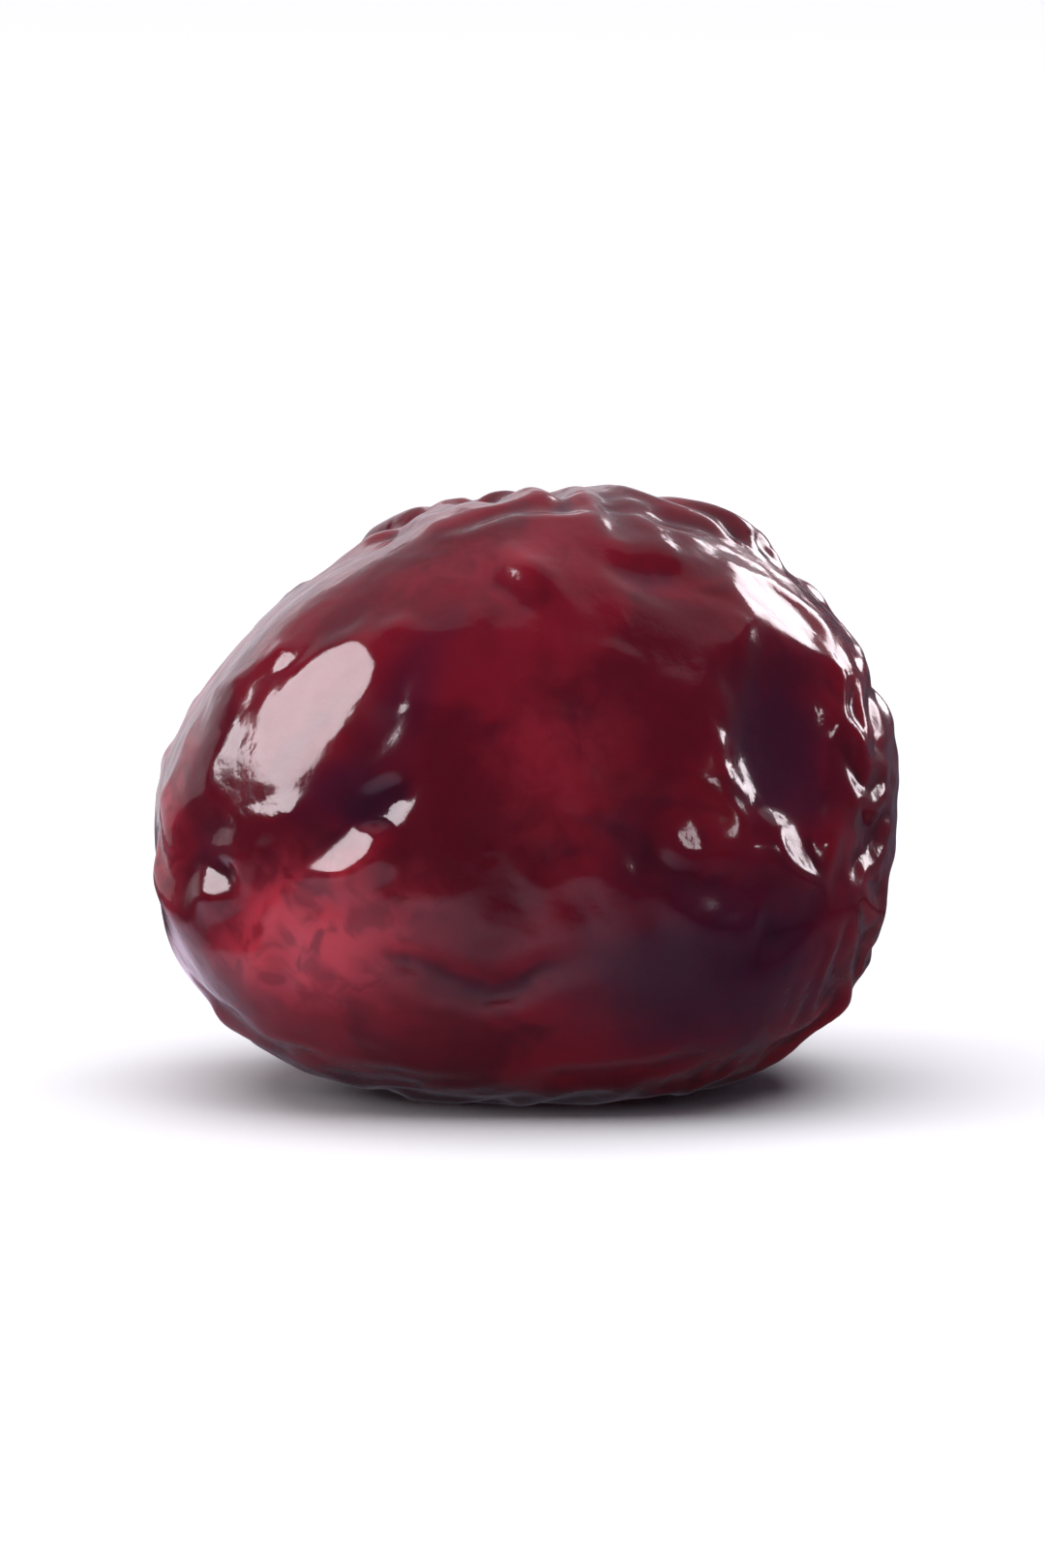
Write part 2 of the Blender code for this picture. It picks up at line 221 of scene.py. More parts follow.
# Painted shade: dark purple in the hollow at the blossom end, in a dent, beside the left highlight and on
# the lower right
PAINTED_SHADE_PLACES = (
    (5.40, 0.90, 1.90, 1.60, 70.0, 0.90),
    (-3.70, -0.20, 1.30, 0.80, 10.0, 0.80),
    (-2.50, 1.80, 1.90, 0.70, 82.0, 0.60),
    (4.30, -4.00, 3.40, 2.40, -10.0, 1.00),
)
PLACE_FLATNESS = 3

# How far around itself a point looks to tell whether it lies in a groove, as smoothing passes
GROOVE_PASSES = 10
HOLLOW_PASSES = 160

# Colours are linear
RED_DEEP = (0.085, 0.0025, 0.0090, 1.0)
RED_BRIGHT = (0.150, 0.0045, 0.0130, 1.0)
# Painted shade: the hollows are darker and purple
HOLLOW_SHADE = (0.065, 0.0055, 0.0200, 1.0)
# Painted glow of light shining through the flesh
PAINTED_GLOW = (0.450, 0.0350, 0.0600, 1.0)
# Painted shade, dark purple
PAINTED_SHADE = (0.034, 0.0038, 0.0170, 1.0)
# Painted shade in the grooves
FOLD_SHADE = (0.035, 0.0015, 0.0060, 1.0)
SCAR_PALE = (0.36, 0.150, 0.050, 1.0)
SCAR_DARK = (0.13, 0.038, 0.014, 1.0)
SCAR_RING = (0.030, 0.0060, 0.0050, 1.0)

# Noise in the material: the size of its waves, its detail and its distortion
RED_NOISE = (2.60 * MM, 2.0, 0.6)
FLECK_NOISE = (0.75 * MM, 2.0, 0.8)
FIBRE_NOISE = (0.26 * MM, 3.0, 1.0)
SHINE_NOISE = (0.90 * MM, 2.0, 0.0)
CREPE_NOISE = (0.34 * MM, 2.0, 0.0)
GRAIN_NOISE = (0.09 * MM, 1.0, 0.0)

# Ramps in the material: where each starts and ends, and what it gives there where that isn't 0 and 1.
# Grooves and hollows are millimetres below the skin around them, and the shine ramp gives roughness.
RED_RANGE = (0.38, 0.62)
HOLLOW_RANGE = (-0.02, 0.16)
GROOVE_RANGE = (0.0, 0.035, 0.0, 0.75)
FLECK_RANGE = (0.36, 0.62, 0.35, 1.0)
RING_RANGE = (0.0, 0.45)
DRY_RANGE = (0.35, 0.85)
FIBRE_RANGE = (0.36, 0.62)
SHINE_RANGE = (0.30, 0.70, 0.11, 0.22)

# The coat of dried juice, which the scar doesn't have, and the finest relief
COAT = 0.35
SCAR_ROUGHNESS = 0.62
BUMP_HEIGHT = 0.012 * MM
CREPE_SHARE = 0.85
GRAIN_SHARE = 0.15
SCAR_FIBRE = 3.0

# Camera: the photograph's viewing angle, from far enough away to flatten the perspective as it does
AZIMUTH = 0.0
ELEVATION = 8.0
LENS = 400.0
SENSOR = 36.0
IMAGE_WIDTH = 1080
IMAGE_HEIGHT = 1620
FRAME_FILLED = 0.72
CLIP_RATIO = 10.0

# The floor, and the glow that stands for what the skin mirrors of it. The glow is full at GLOW_FULL
# from the middle, nothing at its edge, SHADOW_GLOW in the fruit's shadow and GLOW_RIGHT on the right.
FLOOR_RADIUS = 0.25
FLOOR_SIDES = 96
FLOOR_COLOUR = (0.86, 0.85, 0.88, 1.0)
FLOOR_ROUGHNESS = 0.8
GLOW_RADIUS = 22.0 * MM
GLOW_FULL = 0.6 * GLOW_RADIUS
GLOW_HEIGHT = 0.02 * MM
GLOW_SIDES = (-3.0 * MM, 11.0 * MM)
GLOW_RIGHT = 0.12
GLOW_COLOUR = (0.98, 0.85, 1.08, 1.0)
SHADOW_RADIUS = 4.5 * MM
SHADOW_GLOW = 0.1

# The lights: name, place, width and height in metres, and brightness as a surface's radiance, first
# in its mirror image and then in the light that it throws
LIGHTS = (
    ("left", LEFT_BOX, (0.22, 0.26), 15.0, 5.0),
    ("right", RIGHT_BOX, (0.17, 0.15), 6.0, 0.4),
    ("side", SIDE_BOX, (0.09, 0.09), 8.0, 0.0),
    ("small", SMALL_BOX, (0.07, 0.07), 13.0, 0.0),
    ("back", (180.0, 52.0), (0.90, 0.84), 0.40, 0.0),
    ("wall", (-150.0, 6.0), (0.80, 0.26), 0.62, 0.0),
    ("sky", (0.0, 90.0), (0.80, 0.80), 0.0, 2.6),
    ("front", (-35.0, 20.0), (0.40, 0.40), 0.0, 0.5),
)
BOX_DISTANCE = 0.5
GLOSS_TINT = (1.0, 0.91, 0.96)
LIGHT_TINT = (1.0, 1.0, 1.0)
ROOM_COLOUR = (0.09, 0.09, 0.12, 1.0)
WHITE = (1.0, 1.0, 1.0, 1.0)


def smooth_step(low, high, value):
    """0 at low, 1 at high, and a smooth change between."""
    share = np.clip((value - low) / (high - low), 0.0, 1.0)
    return share * share * (3.0 - 2.0 * share)


def unit(vectors):
    """The same vectors, each one long."""
    return vectors / np.maximum(np.linalg.norm(vectors, axis=-1, keepdims=True), TINY_VECTOR)


def direction_of(azimuth, elevation):
    """The unit direction from the fruit towards a place round it: azimuth 0 is -Y, 90 is +X."""
    across, up = math.radians(azimuth), math.radians(elevation)
    return Vector((math.sin(across) * math.cos(up), -math.cos(across) * math.cos(up), math.sin(up)))


def mesh_arrays(mesh):
    """A mesh's points, and its triangles as rows of point numbers."""
    points = np.empty(len(mesh.vertices) * 3)
    mesh.vertices.foreach_get("co", points)
    mesh.calc_loop_triangles()
    triangles = np.empty(len(mesh.loop_triangles) * 3, dtype=np.int32)
    mesh.loop_triangles.foreach_get("vertices", triangles)
    return points.reshape(-1, 3), triangles.reshape(-1, 3)


def model_surface():
    """A search tree over the model's own surface, with its small facets rounded off."""
    form = bmesh.new()
    form.from_mesh(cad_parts[NODE].data)
    bmesh.ops.remove_doubles(form, verts=form.verts[:], dist=WELD)
    mesh = bpy.data.meshes.new("model_surface")
    form.to_mesh(mesh)
    form.free()
    rounded = bpy.data.objects.new("model_surface", mesh)
    bpy.context.scene.collection.objects.link(rounded)
    subdivision = rounded.modifiers.new("rounded", "SUBSURF")
    subdivision.levels = MODEL_SUBDIVISIONS
    evaluated = rounded.evaluated_get(bpy.context.evaluated_depsgraph_get())
    tree = BVHTree.FromObject(evaluated, bpy.context.evaluated_depsgraph_get())
    bpy.data.objects.remove(rounded)
    return tree


def fine_ball():
    """A fine mesh, the evenly spread directions of its points, and the triangles between them."""
    form = bmesh.new()
    bmesh.ops.create_icosphere(form, subdivisions=ICOSPHERE_LEVEL, radius=1.0)
    bmesh.ops.subdivide_edges(form, edges=form.edges[:], cuts=CUTS, use_grid_fill=True)
    bmesh.ops.triangulate(form, faces=form.faces[:])
    mesh = bpy.data.meshes.new("skin")
    form.to_mesh(mesh)
    form.free()
    points, triangles = mesh_arrays(mesh)
    return mesh, unit(points), triangles


def projected(directions, tree):
    """The points where rays from the middle, in the directions given, leave the model's surface."""
    points = np.empty_like(directions)
    for index, direction in enumerate(directions):
        points[index] = tree.ray_cast(MIDDLE, Vector(direction))[0]
    return points


def neighbours(triangles, count):
    """For each point the numbers of its neighbours, filled up with its own number, and how many it has."""
    sides = np.vstack((triangles[:, (0, 1)], triangles[:, (1, 2)], triangles[:, (2, 0)]))
    sides = sides[np.argsort(sides[:, 0], kind="stable")]
    number = np.bincount(sides[:, 0], minlength=count)
    place = np.arange(len(sides)) - np.repeat(np.cumsum(number) - number, number)
    table = np.repeat(np.arange(count)[:, None], number.max(), axis=1)
    table[sides[:, 0], place] = sides[:, 1]
    return table, number[:, None].astype(float)


def umbrella(values, table, number):
    """How far the mean of a point's neighbours is from the point itself."""
    return (values[table].sum(axis=1) - values * table.shape[1]) / number


def smoothed(points, table, number, passes, mask=1.0):
    """The same points with their finest unevenness taken out, where there is a mask only inside it."""
    for _ in range(passes):
        points = points + SMOOTHING * mask * umbrella(points, table, number)
    return points


def normals_of(points, triangles):
    """Unit vectors pointing out of the skin at each point."""
    corners = points[triangles]
    faces = np.cross(corners[:, 1] - corners[:, 0], corners[:, 2] - corners[:, 0])
    total = np.zeros_like(points)
    for corner in range(3):
        for axis in range(3):
            total[:, axis] += np.bincount(triangles[:, corner], faces[:, axis], len(points))
    return unit(total)


def noise_at(points, size, layers=LAYERS):
    """Smooth noise with waves of the given size, between about -1 and 1."""
    values = [noise.fractal(Vector(point) / size, LAYER_FALL, LAYER_RATIO, layers) for point in points]
    return np.array(values)


def angle_from(directions, place):
    """Degrees between each direction and one place's."""
    return np.degrees(np.arccos(np.clip(directions @ np.array(place), -1.0, 1.0)))


def distance_from(directions, end):
    """About how far each point of the skin is from one end of the fruit."""
    return np.linalg.norm(directions - np.array(end), axis=1) * SKIN_RADIUS


def ring_share(away, ring):
    """1 at the ring's distance from its middle, falling off to both sides over its width."""
    distance, width = ring
    return np.exp(-((away - distance) / width) ** 2)


def seen_at(tree, across, above):
    """What the camera sees there: the model's point, and the ways right, up and out of the skin."""
    back = np.array(direction_of(AZIMUTH, ELEVATION))
    right = unit(np.cross(UP, back))
    up = np.cross(back, right)
    start = np.array(MIDDLE) + (across * right + above * up) * MM + back * VIEW_START
    point, normal = tree.ray_cast(Vector(start), Vector(-back))[:2]
    out = np.array(normal)
    right = unit(np.cross(UP, out))
    return np.array(point), right, np.cross(out, right), out


def oval_place(points, tree, oval):
    """Where each point is in an oval place on the skin, along and across it: 1 is its edge."""
    across, above, half_length, half_width, turn = oval
    centre, right, up, out = seen_at(tree, across, above)
    offset = (points - centre) / MM
    along_axis = math.cos(math.radians(turn)) * right + math.sin(math.radians(turn)) * up
    across_axis = np.cross(out, along_axis)
    same_side = offset @ out > -SKIN_RADIUS / MM / 2.0
    along = np.where(same_side, offset @ along_axis / half_length, FAR_AWAY)
    return along, offset @ across_axis / half_width


def reach(points, tree, oval):
    """How far out of an oval place on the skin each point is: 1 on the oval's uneven edge."""
    along, across = oval_place(points, tree, oval)
    ratio = np.hypot(along, across)
    near = ratio < NEAR
    ratio[near] *= 1.0 + UNEVEN * noise_at(points[near], UNEVEN_SIZE)
    return ratio


def place_share(points, tree, places):
    """How much each point belongs to soft-edged places on the skin."""
    total = np.zeros(len(points))
    for *oval, strength in places:
        spread = reach(points, tree, oval) ** PLACE_FLATNESS
        total = np.maximum(total, strength * np.exp(-spread))
    return total


def facet_masks(points, tree):
    """For each facet, how much each point belongs to it."""
    return [1.0 - smooth_step(1.0, FACET_EDGE, reach(points, tree, oval)) for *oval, _ in FACETS]


def with_facets(points, masks, table, number):
    """The skin spans each facet like a film."""
    for mask, (*_, passes) in zip(masks, FACETS):
        inside = np.nonzero(mask > 0.0)[0]
        strength = SMOOTHING * mask[inside, None]
        for _ in range(passes):
            change = points[table[inside]].sum(axis=1) - points[inside] * table.shape[1]
            points[inside] += strength * change / number[inside]
    return points


def puckers(points, tree):
    """Short ridges that run across the rim of the hollow at the blossom end."""
    *hollow, _, _ = DENTS[0]
    along, across = oval_place(points, tree, hollow)
    ratio = np.hypot(along, across)
    height = np.zeros(len(points))
    for index in np.nonzero(ratio < NEAR)[0]:
        angle = math.atan2(across[index], along[index]) + PUCKER_TWIST * ratio[index]
        spot = Vector((math.cos(angle), math.sin(angle), 0.0)) * PUCKER_TURNS
        spot.z = ratio[index]
        height[index] = 1.0 - PUCKER_SHARPNESS * abs(noise.noise(spot))
    return PUCKER_HEIGHT * height * ring_share(ratio, PUCKER_RING)


def with_dents(points, triangles, tree):
    """The small dents of the side that shows, and the puckers round the first."""
    normals = normals_of(points, triangles)
    depth = np.zeros(len(points))
    for *oval, deepest, flatness in DENTS:
        depth += deepest * MM * np.exp(-reach(points, tree, oval) ** flatness)
    return points + normals * (puckers(points, tree) - depth)[:, None]


def with_lit_facets(points, tree, table, number):
    """Small stretches of skin turned until they mirror a soft box, with their borders softened.

    Gives the points, and how much each of them belongs to such a stretch.
    """
    back = np.array(direction_of(AZIMUTH, ELEVATION))
    border = np.zeros(len(points))
    lit = np.zeros(len(points))
    for *oval, box, flatness, sink in LIT_FACETS:
        ratio = reach(points, tree, oval)
        mask = flatness * (1.0 - smooth_step(LIT_INNER, LIT_OUTER, ratio))
        facing = unit(np.array(direction_of(*box)) + back)
        across, above, *_ = oval
        centre = seen_at(tree, across, above)[0]
        distance = (points - centre) @ facing + sink * MM
        points = points - (mask * distance)[:, None] * facing
        border = np.maximum(border, smooth_step(LIT_BORDER, LIT_OUTER, ratio))
        lit = np.maximum(lit, mask)
    return smoothed(points, table, number, LIT_PASSES, border[:, None]), lit


def with_soft_hollow(points, tree, table, number):
    """The skin with the inside of the hollow at the blossom end smoothed."""
    inside = smooth_step(*SOFT_EDGE, reach(points, tree, SOFT_PLACE))
    return smoothed(points, table, number, SOFT_PASSES, inside[:, None])


def scar_share(directions, points):
    """How much each point belongs to the scar where the stem was."""
    away = distance_from(directions, STEM_END)
    near = away < SCAR_REACH
    away[near] += SCAR_UNEVEN * noise_at(points[near], SCAR_WAVES)
    return smooth_step(SCAR_RADIUS + SCAR_BORDER, SCAR_RADIUS - SCAR_BORDER, away)


def with_fine_relief(points, triangles, scar):
    """Small unevenness all over the skin, and a rough scar."""
    height = MOTTLE_HEIGHT * noise_at(points, MOTTLE_SIZE)
    on_scar = scar > 0.0
    height[on_scar] += SCAR_RELIEF * scar[on_scar] * noise_at(points[on_scar], SCAR_GRAIN, SCAR_LAYERS)
    return points + height[:, None] * normals_of(points, triangles)


def growth_share(directions, points):
    """How strongly the skin wrinkles at each point: in patches, and less on the full, smooth front."""
    wrinkled = smooth_step(CALM_INNER, CALM_OUTER, angle_from(directions, CALM_TOWARD))
    ring = ring_share(distance_from(directions, BLOSSOM_END), BLOSSOM_RING)
    share = CALM_SHARE + (1.0 - CALM_SHARE) * np.maximum(wrinkled, BLOSSOM_SHARE * ring)
    patchy = 1.0 + PATCH_RANGE * noise_at(points, PATCH_SIZE)
    flank = np.exp(-(angle_from(directions, FLANK_TOWARD) / FLANK_SPREAD) ** 2)
    return share * np.clip(patchy, 0.0, None) + FLANK_SHARE * flank


def grown_lengths(base, normals, table, share):
    """The length of each edge once the skin has grown, more around the fruit than from end to end."""
    axis = np.array(STEM_END - BLOSSOM_END, dtype=np.float32)
    meridian = unit(axis - normals * (normals @ axis)[:, None])
    sides = base[table] - base[:, None]
    lengths = np.linalg.norm(sides, axis=2)
    along = (np.einsum("ijk,ik->ij", sides, meridian) / np.maximum(lengths, TINY)) ** 2
    growth = GROWTH_ACROSS + (GROWTH_ALONG - GROWTH_ACROSS) * along
    edge_share = (share[table] + share[:, None]) / 2.0
    return (lengths * (1.0 + growth * edge_share)).astype(np.float32)


def skin_force(base, moved, normals, rest, table, number):
    """What pulls at each point: the skin, towards its grown lengths and against bends, and the flesh."""
    points = base + moved
    sides = points[table] - points[:, None]
    lengths = np.sqrt(np.einsum("ijk,ijk->ij", sides, sides))
    pull = 1.0 - rest / np.maximum(lengths, TINY)
    force = STRETCH * np.einsum("ij,ijk->ik", pull, sides)
    force -= BENDING * umbrella(umbrella(moved, table, number), table, number)
    out = np.einsum("ij,ij->i", moved, normals)[:, None] * normals
    return force - (FLESH * out + FLESH_ALONG * (moved - out))


def grow_skin(points, triangles, table, number, share):
    """Lets the skin grow on the flesh that holds it until it has buckled into wrinkles."""
    number = number.astype(np.float32)
    base = (points / MM).astype(np.float32)
    normals = normals_of(points, triangles).astype(np.float32)
    rest = grown_lengths(base, normals, table, share)
    rng = np.random.default_rng(SEED)
    nudge = rng.normal(0.0, FIRST_NUDGE / MM, (len(base), 1)).astype(np.float32)
    moved = normals * nudge
    velocity = np.zeros_like(base)
    for _ in range(GROWTH_STEPS):
        velocity = DAMPING * velocity + STEP * skin_force(base, moved, normals, rest, table, number)
        moved = moved + STEP * velocity
    return (base + moved).astype(float) * MM


def sunken(points, triangles, table, number, passes):
    """How far each point lies below the level of the skin around it, in millimetres."""
    level = smoothed(points, table, number, passes)
    return np.einsum("ij,ij->i", level - points, normals_of(level, triangles)) / MM


def skin_points(directions, triangles, tree, table, number):
    """The points of the finished skin, and how much each of them belongs to the scar."""
    points = smoothed(projected(directions, tree), table, number, FIRST_PASSES)
    masks = facet_masks(points, tree)
    points = with_facets(points, masks, table, number)
    points = with_dents(points, triangles, tree)
    points, lit = with_lit_facets(points, tree, table, number)
    scar = scar_share(directions, points)
    share = growth_share(directions, points) * (1.0 - FACET_CALM * np.max(masks, axis=0))
    share *= 1.0 - place_share(points, tree, CALM_PLACES)
    share *= 1.0 - LIT_CALM * lit
    share *= 1.0 - scar
    points = grow_skin(points, triangles, table, number, share)
    points = smoothed(points, table, number, LAST_PASSES)
    points = with_soft_hollow(points, tree, table, number)
    points = with_fine_relief(points, triangles, scar)
    points[:, 2] = np.maximum(points[:, 2], 0.0)
    return points, scar


def keep(mesh, name, values):
    """Stores a number for each point, for the material."""
    mesh.attributes.new(name, "FLOAT", "POINT").data.foreach_set("value", values.astype(np.float32))


def skin_mesh():
    """The fine skin as a mesh, with what its material needs to know about each point."""
    mesh, directions, triangles = fine_ball()
    tree = model_surface()
    table, number = neighbours(triangles, len(directions))
    points, scar = skin_points(directions, triangles, tree, table, number)
    mesh.vertices.foreach_set("co", points.ravel())
    mesh.update()
    mesh.shade_smooth()
    # How sunken each point is, which the painted shade in grooves and hollows follows
    keep(mesh, "groove", sunken(points, triangles, table, number, GROOVE_PASSES))
    keep(mesh, "hollow", sunken(points, triangles, table, number, HOLLOW_PASSES))
    # Where the painted glow of light through the flesh goes
    keep(mesh, "painted_glow", place_share(points, tree, PAINTED_GLOW_PLACES))
    # Where the painted dark purple shade goes
    keep(mesh, "painted_shade", place_share(points, tree, PAINTED_SHADE_PLACES))
    keep(mesh, "scar", scar)
    return mesh


def set_inputs(node, values):
    """Sets a node's inputs, by name or number, to a value or to another node's output."""
    for name, value in values.items():
        if isinstance(value, bpy.types.NodeSocket):
            node.id_data.links.new(value, node.inputs[name])
        else:
            node.inputs[name].default_value = value


def add_node(tree, kind, values=None, **options):
    """Adds a node with its options and inputs."""
    node = tree.nodes.new(kind)
    for name, value in options.items():
        setattr(node, name, value)
    set_inputs(node, values or {})
    return node


def ramp(tree, value, low, high, bottom=0.0, top=1.0):
    """Maps a number smoothly from one range to another, and holds it there."""
    values = {"Value": value, "From Min": low, "From Max": high, "To Min": bottom, "To Max": top}
    return add_node(tree, "ShaderNodeMapRange", values, interpolation_type="SMOOTHSTEP").outputs["Result"]


def mix_colour(tree, share, first, second):
    """A colour between two others."""
    values = {0: share, 6: first, 7: second}
    return add_node(tree, "ShaderNodeMix", values, data_type="RGBA").outputs[2]


def maths(tree, operation, first, second):
    """One sum of two numbers."""
    return add_node(tree, "ShaderNodeMath", {0: first, 1: second}, operation=operation).outputs[0]


def attribute(tree, name):
    """A number stored with each point of the mesh."""
    return add_node(tree, "ShaderNodeAttribute", attribute_name=name).outputs["Fac"]


def noise_value(tree, place, size, detail, distortion):
    """Noise with waves of the given size in metres, about 0 to 1."""
    values = {"Vector": place, "Scale": 1.0 / size, "Detail": detail, "Distortion": distortion}
    return add_node(tree, "ShaderNodeTexNoise", values).outputs["Fac"]


def skin_colour(tree, place):
    """Dark red in random mottling, with a painted glow in red flecks, and painted shade in hollows, grooves
    and listed places.
    """
    mottle = ramp(tree, noise_value(tree, place, *RED_NOISE), *RED_RANGE)
    colour = mix_colour(tree, mottle, RED_DEEP, RED_BRIGHT)
    # Painted shade: the hollows turn darker and purple
    purple = ramp(tree, attribute(tree, "hollow"), *HOLLOW_RANGE)
    colour = mix_colour(tree, purple, colour, HOLLOW_SHADE)
    # Painted shade: the grooves turn dark
    dark = ramp(tree, attribute(tree, "groove"), *GROOVE_RANGE)
    colour = mix_colour(tree, dark, colour, FOLD_SHADE)
    # Painted glow: bright red flecks that stand for light shining through the flesh
    flecks = ramp(tree, noise_value(tree, place, *FLECK_NOISE), *FLECK_RANGE)
    painted_glow = maths(tree, "MULTIPLY", attribute(tree, "painted_glow"), flecks)
    colour = mix_colour(tree, painted_glow, colour, PAINTED_GLOW)
    # Painted shade: dark purple in the listed places
    return mix_colour(tree, attribute(tree, "painted_shade"), colour, PAINTED_SHADE)


def with_scar_colour(tree, colour, scar, dry, fibres):
    """The skin's colour with the dark ring round the scar, and the scar's pale fibres."""
    colour = mix_colour(tree, ramp(tree, scar, *RING_RANGE), colour, SCAR_RING)
    fibre_colour = mix_colour(tree, ramp(tree, fibres, *FIBRE_RANGE), SCAR_DARK, SCAR_PALE)
    return mix_colour(tree, dry, colour, fibre_colour)


def skin_bump(tree, place, dry, fibres):
    """The finest unevenness of the skin, and the fibres of the scar."""
    crepe = maths(tree, "MULTIPLY", noise_value(tree, place, *CREPE_NOISE), CREPE_SHARE)
    grain = maths(tree, "MULTIPLY", noise_value(tree, place, *GRAIN_NOISE), GRAIN_SHARE)
    rough_scar = maths(tree, "MULTIPLY", maths(tree, "MULTIPLY", dry, fibres), SCAR_FIBRE)
    height = maths(tree, "ADD", maths(tree, "ADD", crepe, grain), rough_scar)
    values = {"Height": height, "Strength": 1.0, "Distance": BUMP_HEIGHT}
    return add_node(tree, "ShaderNodeBump", values).outputs["Normal"]


def skin_material():
    """Half see-through skin under a coat of dried juice, and a dry scar."""
    material = bpy.data.materials.new("cherry_skin")
    material.use_nodes = True
    tree = material.node_tree
    place = add_node(tree, "ShaderNodeTexCoord").outputs["Object"]
    scar = attribute(tree, "scar")
    dry = ramp(tree, scar, *DRY_RANGE)
    fibres = noise_value(tree, place, *FIBRE_NOISE)
    bump = skin_bump(tree, place, dry, fibres)
    rough = ramp(tree, noise_value(tree, place, *SHINE_NOISE), *SHINE_RANGE)
    set_inputs(tree.nodes["Principled BSDF"], {
        "Base Color": with_scar_colour(tree, skin_colour(tree, place), scar, dry, fibres),
        "Roughness": maths(tree, "MAXIMUM", rough, maths(tree, "MULTIPLY", dry, SCAR_ROUGHNESS)),
        "Normal": bump,
        "IOR": 1.33,
        "Subsurface Weight": 0.85,
        "Subsurface Radius": (1.0, 0.10, 0.12),
        "Subsurface Scale": 1.3 * MM,
        "Coat Weight": maths(tree, "SUBTRACT", COAT, maths(tree, "MULTIPLY", dry, COAT)),
        "Coat Roughness": 0.07,
        "Coat IOR": 1.35,
        "Coat Normal": bump,
    })
    return material


def dressed_cherry():
    """The fine fruit, which stands for the model's node."""
    mesh = skin_mesh()
    mesh.materials.append(skin_material())
    cherry = bpy.data.objects.new("cherry", mesh)
    bpy.context.scene.collection.objects.link(cherry)
    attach(cherry, "root")
    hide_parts(NODE)


def camera():
    """A long lens at the photograph's viewing angle, as far away as the fruit's share of the frame asks."""
    data = bpy.data.cameras.new("camera")
    data.sensor_width = SENSOR
    data.lens = LENS
    view = bpy.data.objects.new("camera", data)
    bpy.context.scene.collection.objects.link(view)
    back = direction_of(AZIMUTH, ELEVATION)
    frame_width = (HIGH.x - LOW.x) / FRAME_FILLED
    distance = frame_width * LENS / (SENSOR * IMAGE_WIDTH / IMAGE_HEIGHT)
    view.location = MIDDLE + back * distance
    view.rotation_euler = (-back).to_track_quat("-Z", "Y").to_euler()
    data.clip_start = distance / CLIP_RATIO
    data.clip_end = distance * CLIP_RATIO
    bpy.context.scene.camera = view


def area_light(name, direction, size, radiance, colour):
    """A rectangle of light that faces the fruit and that the camera doesn't see."""
    light = bpy.data.lights.new(name, "AREA")
    light.shape = "RECTANGLE"
    light.size, light.size_y = size
    light.energy = radiance * size[0] * size[1] * math.pi
    light.color = colour
    box = bpy.data.objects.new(name, light)
    box.location = MIDDLE + direction * BOX_DISTANCE
    box.rotation_euler = direction.to_track_quat("Z", "Y").to_euler()
    box.visible_camera = False
    bpy.context.scene.collection.objects.link(box)
    return box


def soft_box(name, place, size, gloss, diffuse):
    """A soft box, with one brightness for its mirror image and one for the light that it throws."""
    direction = direction_of(*place)
    if gloss > 0.0:
        box = area_light(name + "_gloss", direction, size, gloss, GLOSS_TINT)
        box.visible_diffuse = False
        box.visible_transmission = False
    if diffuse > 0.0:
        box = area_light(name + "_light", direction, size, diffuse, LIGHT_TINT)
        box.visible_glossy = False


def background():
    """White behind everything for the camera, and a dim room for the fruit to reflect."""
    world = bpy.data.worlds.new("studio")
    bpy.context.scene.world = world
    world.use_nodes = True
    tree = world.node_tree
    room = tree.nodes["Background"]
    set_inputs(room, {"Color": ROOM_COLOUR})
    white = add_node(tree, "ShaderNodeBackground", {"Color": WHITE, "Strength": 1.0})
    path = add_node(tree, "ShaderNodeLightPath")
    values = {0: path.outputs["Is Camera Ray"], 1: room.outputs[0], 2: white.outputs[0]}
    mixed = add_node(tree, "ShaderNodeMixShader", values)
    set_inputs(tree.nodes["World Output"], {"Surface": mixed.outputs[0]})


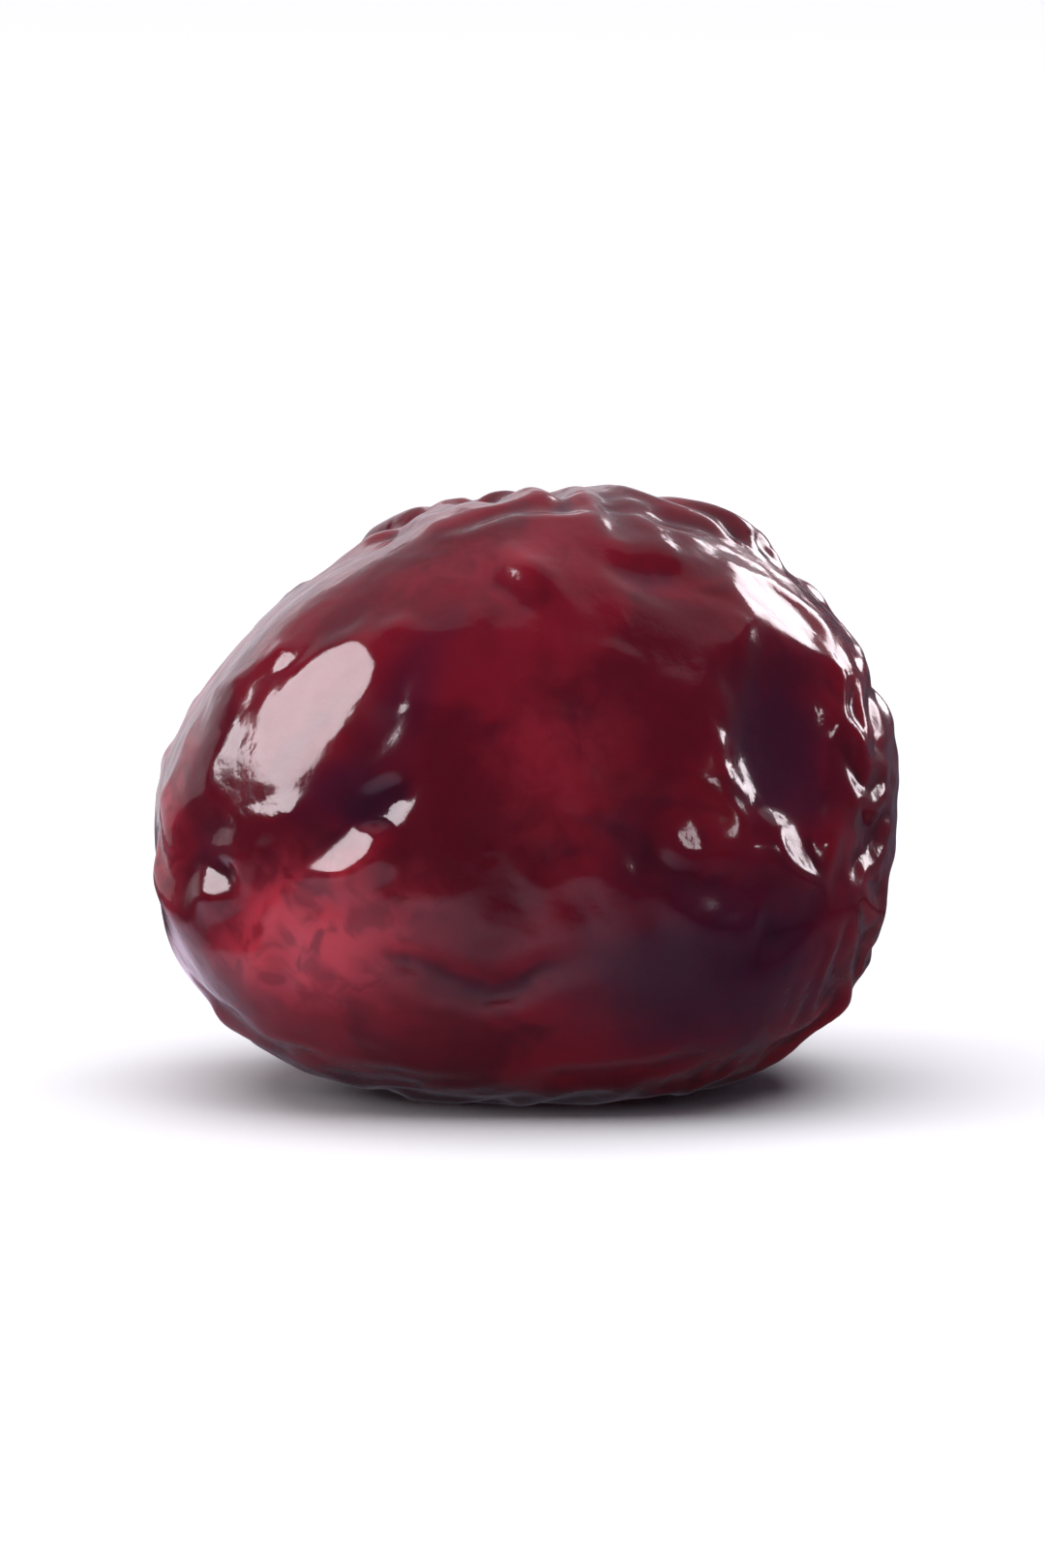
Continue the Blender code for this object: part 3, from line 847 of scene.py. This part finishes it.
def disc(name, radius, height):
    """A level disc under the fruit, and the nodes of its material."""
    form = bmesh.new()
    bmesh.ops.create_circle(form, cap_ends=True, segments=FLOOR_SIDES, radius=radius)
    mesh = bpy.data.meshes.new(name)
    form.to_mesh(mesh)
    form.free()
    plate = bpy.data.objects.new(name, mesh)
    plate.location.z = height
    bpy.context.scene.collection.objects.link(plate)
    material = bpy.data.materials.new(name)
    material.use_nodes = True
    mesh.materials.append(material)
    return plate, material.node_tree


def floor():
    """The white surface that the fruit lies on, which the skin doesn't mirror."""
    plate, tree = disc("floor", FLOOR_RADIUS, 0.0)
    set_inputs(tree.nodes["Principled BSDF"], {
        "Base Color": FLOOR_COLOUR,
        "Roughness": FLOOR_ROUGHNESS,
        "Specular IOR Level": 0.0,
    })
    plate.visible_glossy = False


def floor_glow():
    """What the skin mirrors of the floor: a glow that is dim under the fruit, far out and to the right."""
    glow, tree = disc("floor_glow", GLOW_RADIUS, GLOW_HEIGHT)
    place = add_node(tree, "ShaderNodeTexCoord").outputs["Object"]
    away = add_node(tree, "ShaderNodeVectorMath", {0: place}, operation="LENGTH").outputs["Value"]
    across = add_node(tree, "ShaderNodeSeparateXYZ", {"Vector": place}).outputs["X"]
    outer = ramp(tree, away, GLOW_FULL, GLOW_RADIUS, 1.0, 0.0)
    inner = ramp(tree, away, SHADOW_RADIUS, GLOW_FULL, SHADOW_GLOW)
    sideways = ramp(tree, across, *GLOW_SIDES, 1.0, GLOW_RIGHT)
    strength = maths(tree, "MULTIPLY", maths(tree, "MULTIPLY", outer, inner), sideways)
    light = add_node(tree, "ShaderNodeEmission", {"Color": GLOW_COLOUR, "Strength": strength})
    set_inputs(tree.nodes["Material Output"], {"Surface": light.outputs[0]})
    glow.visible_camera = False
    glow.visible_diffuse = False
    glow.visible_shadow = False
    glow.visible_transmission = False


def studio():
    """The floor, the background and the lights."""
    bpy.context.scene.view_settings.view_transform = "Standard"
    background()
    floor()
    floor_glow()
    for light in LIGHTS:
        soft_box(*light)


camera()
dressed_cherry()
studio()
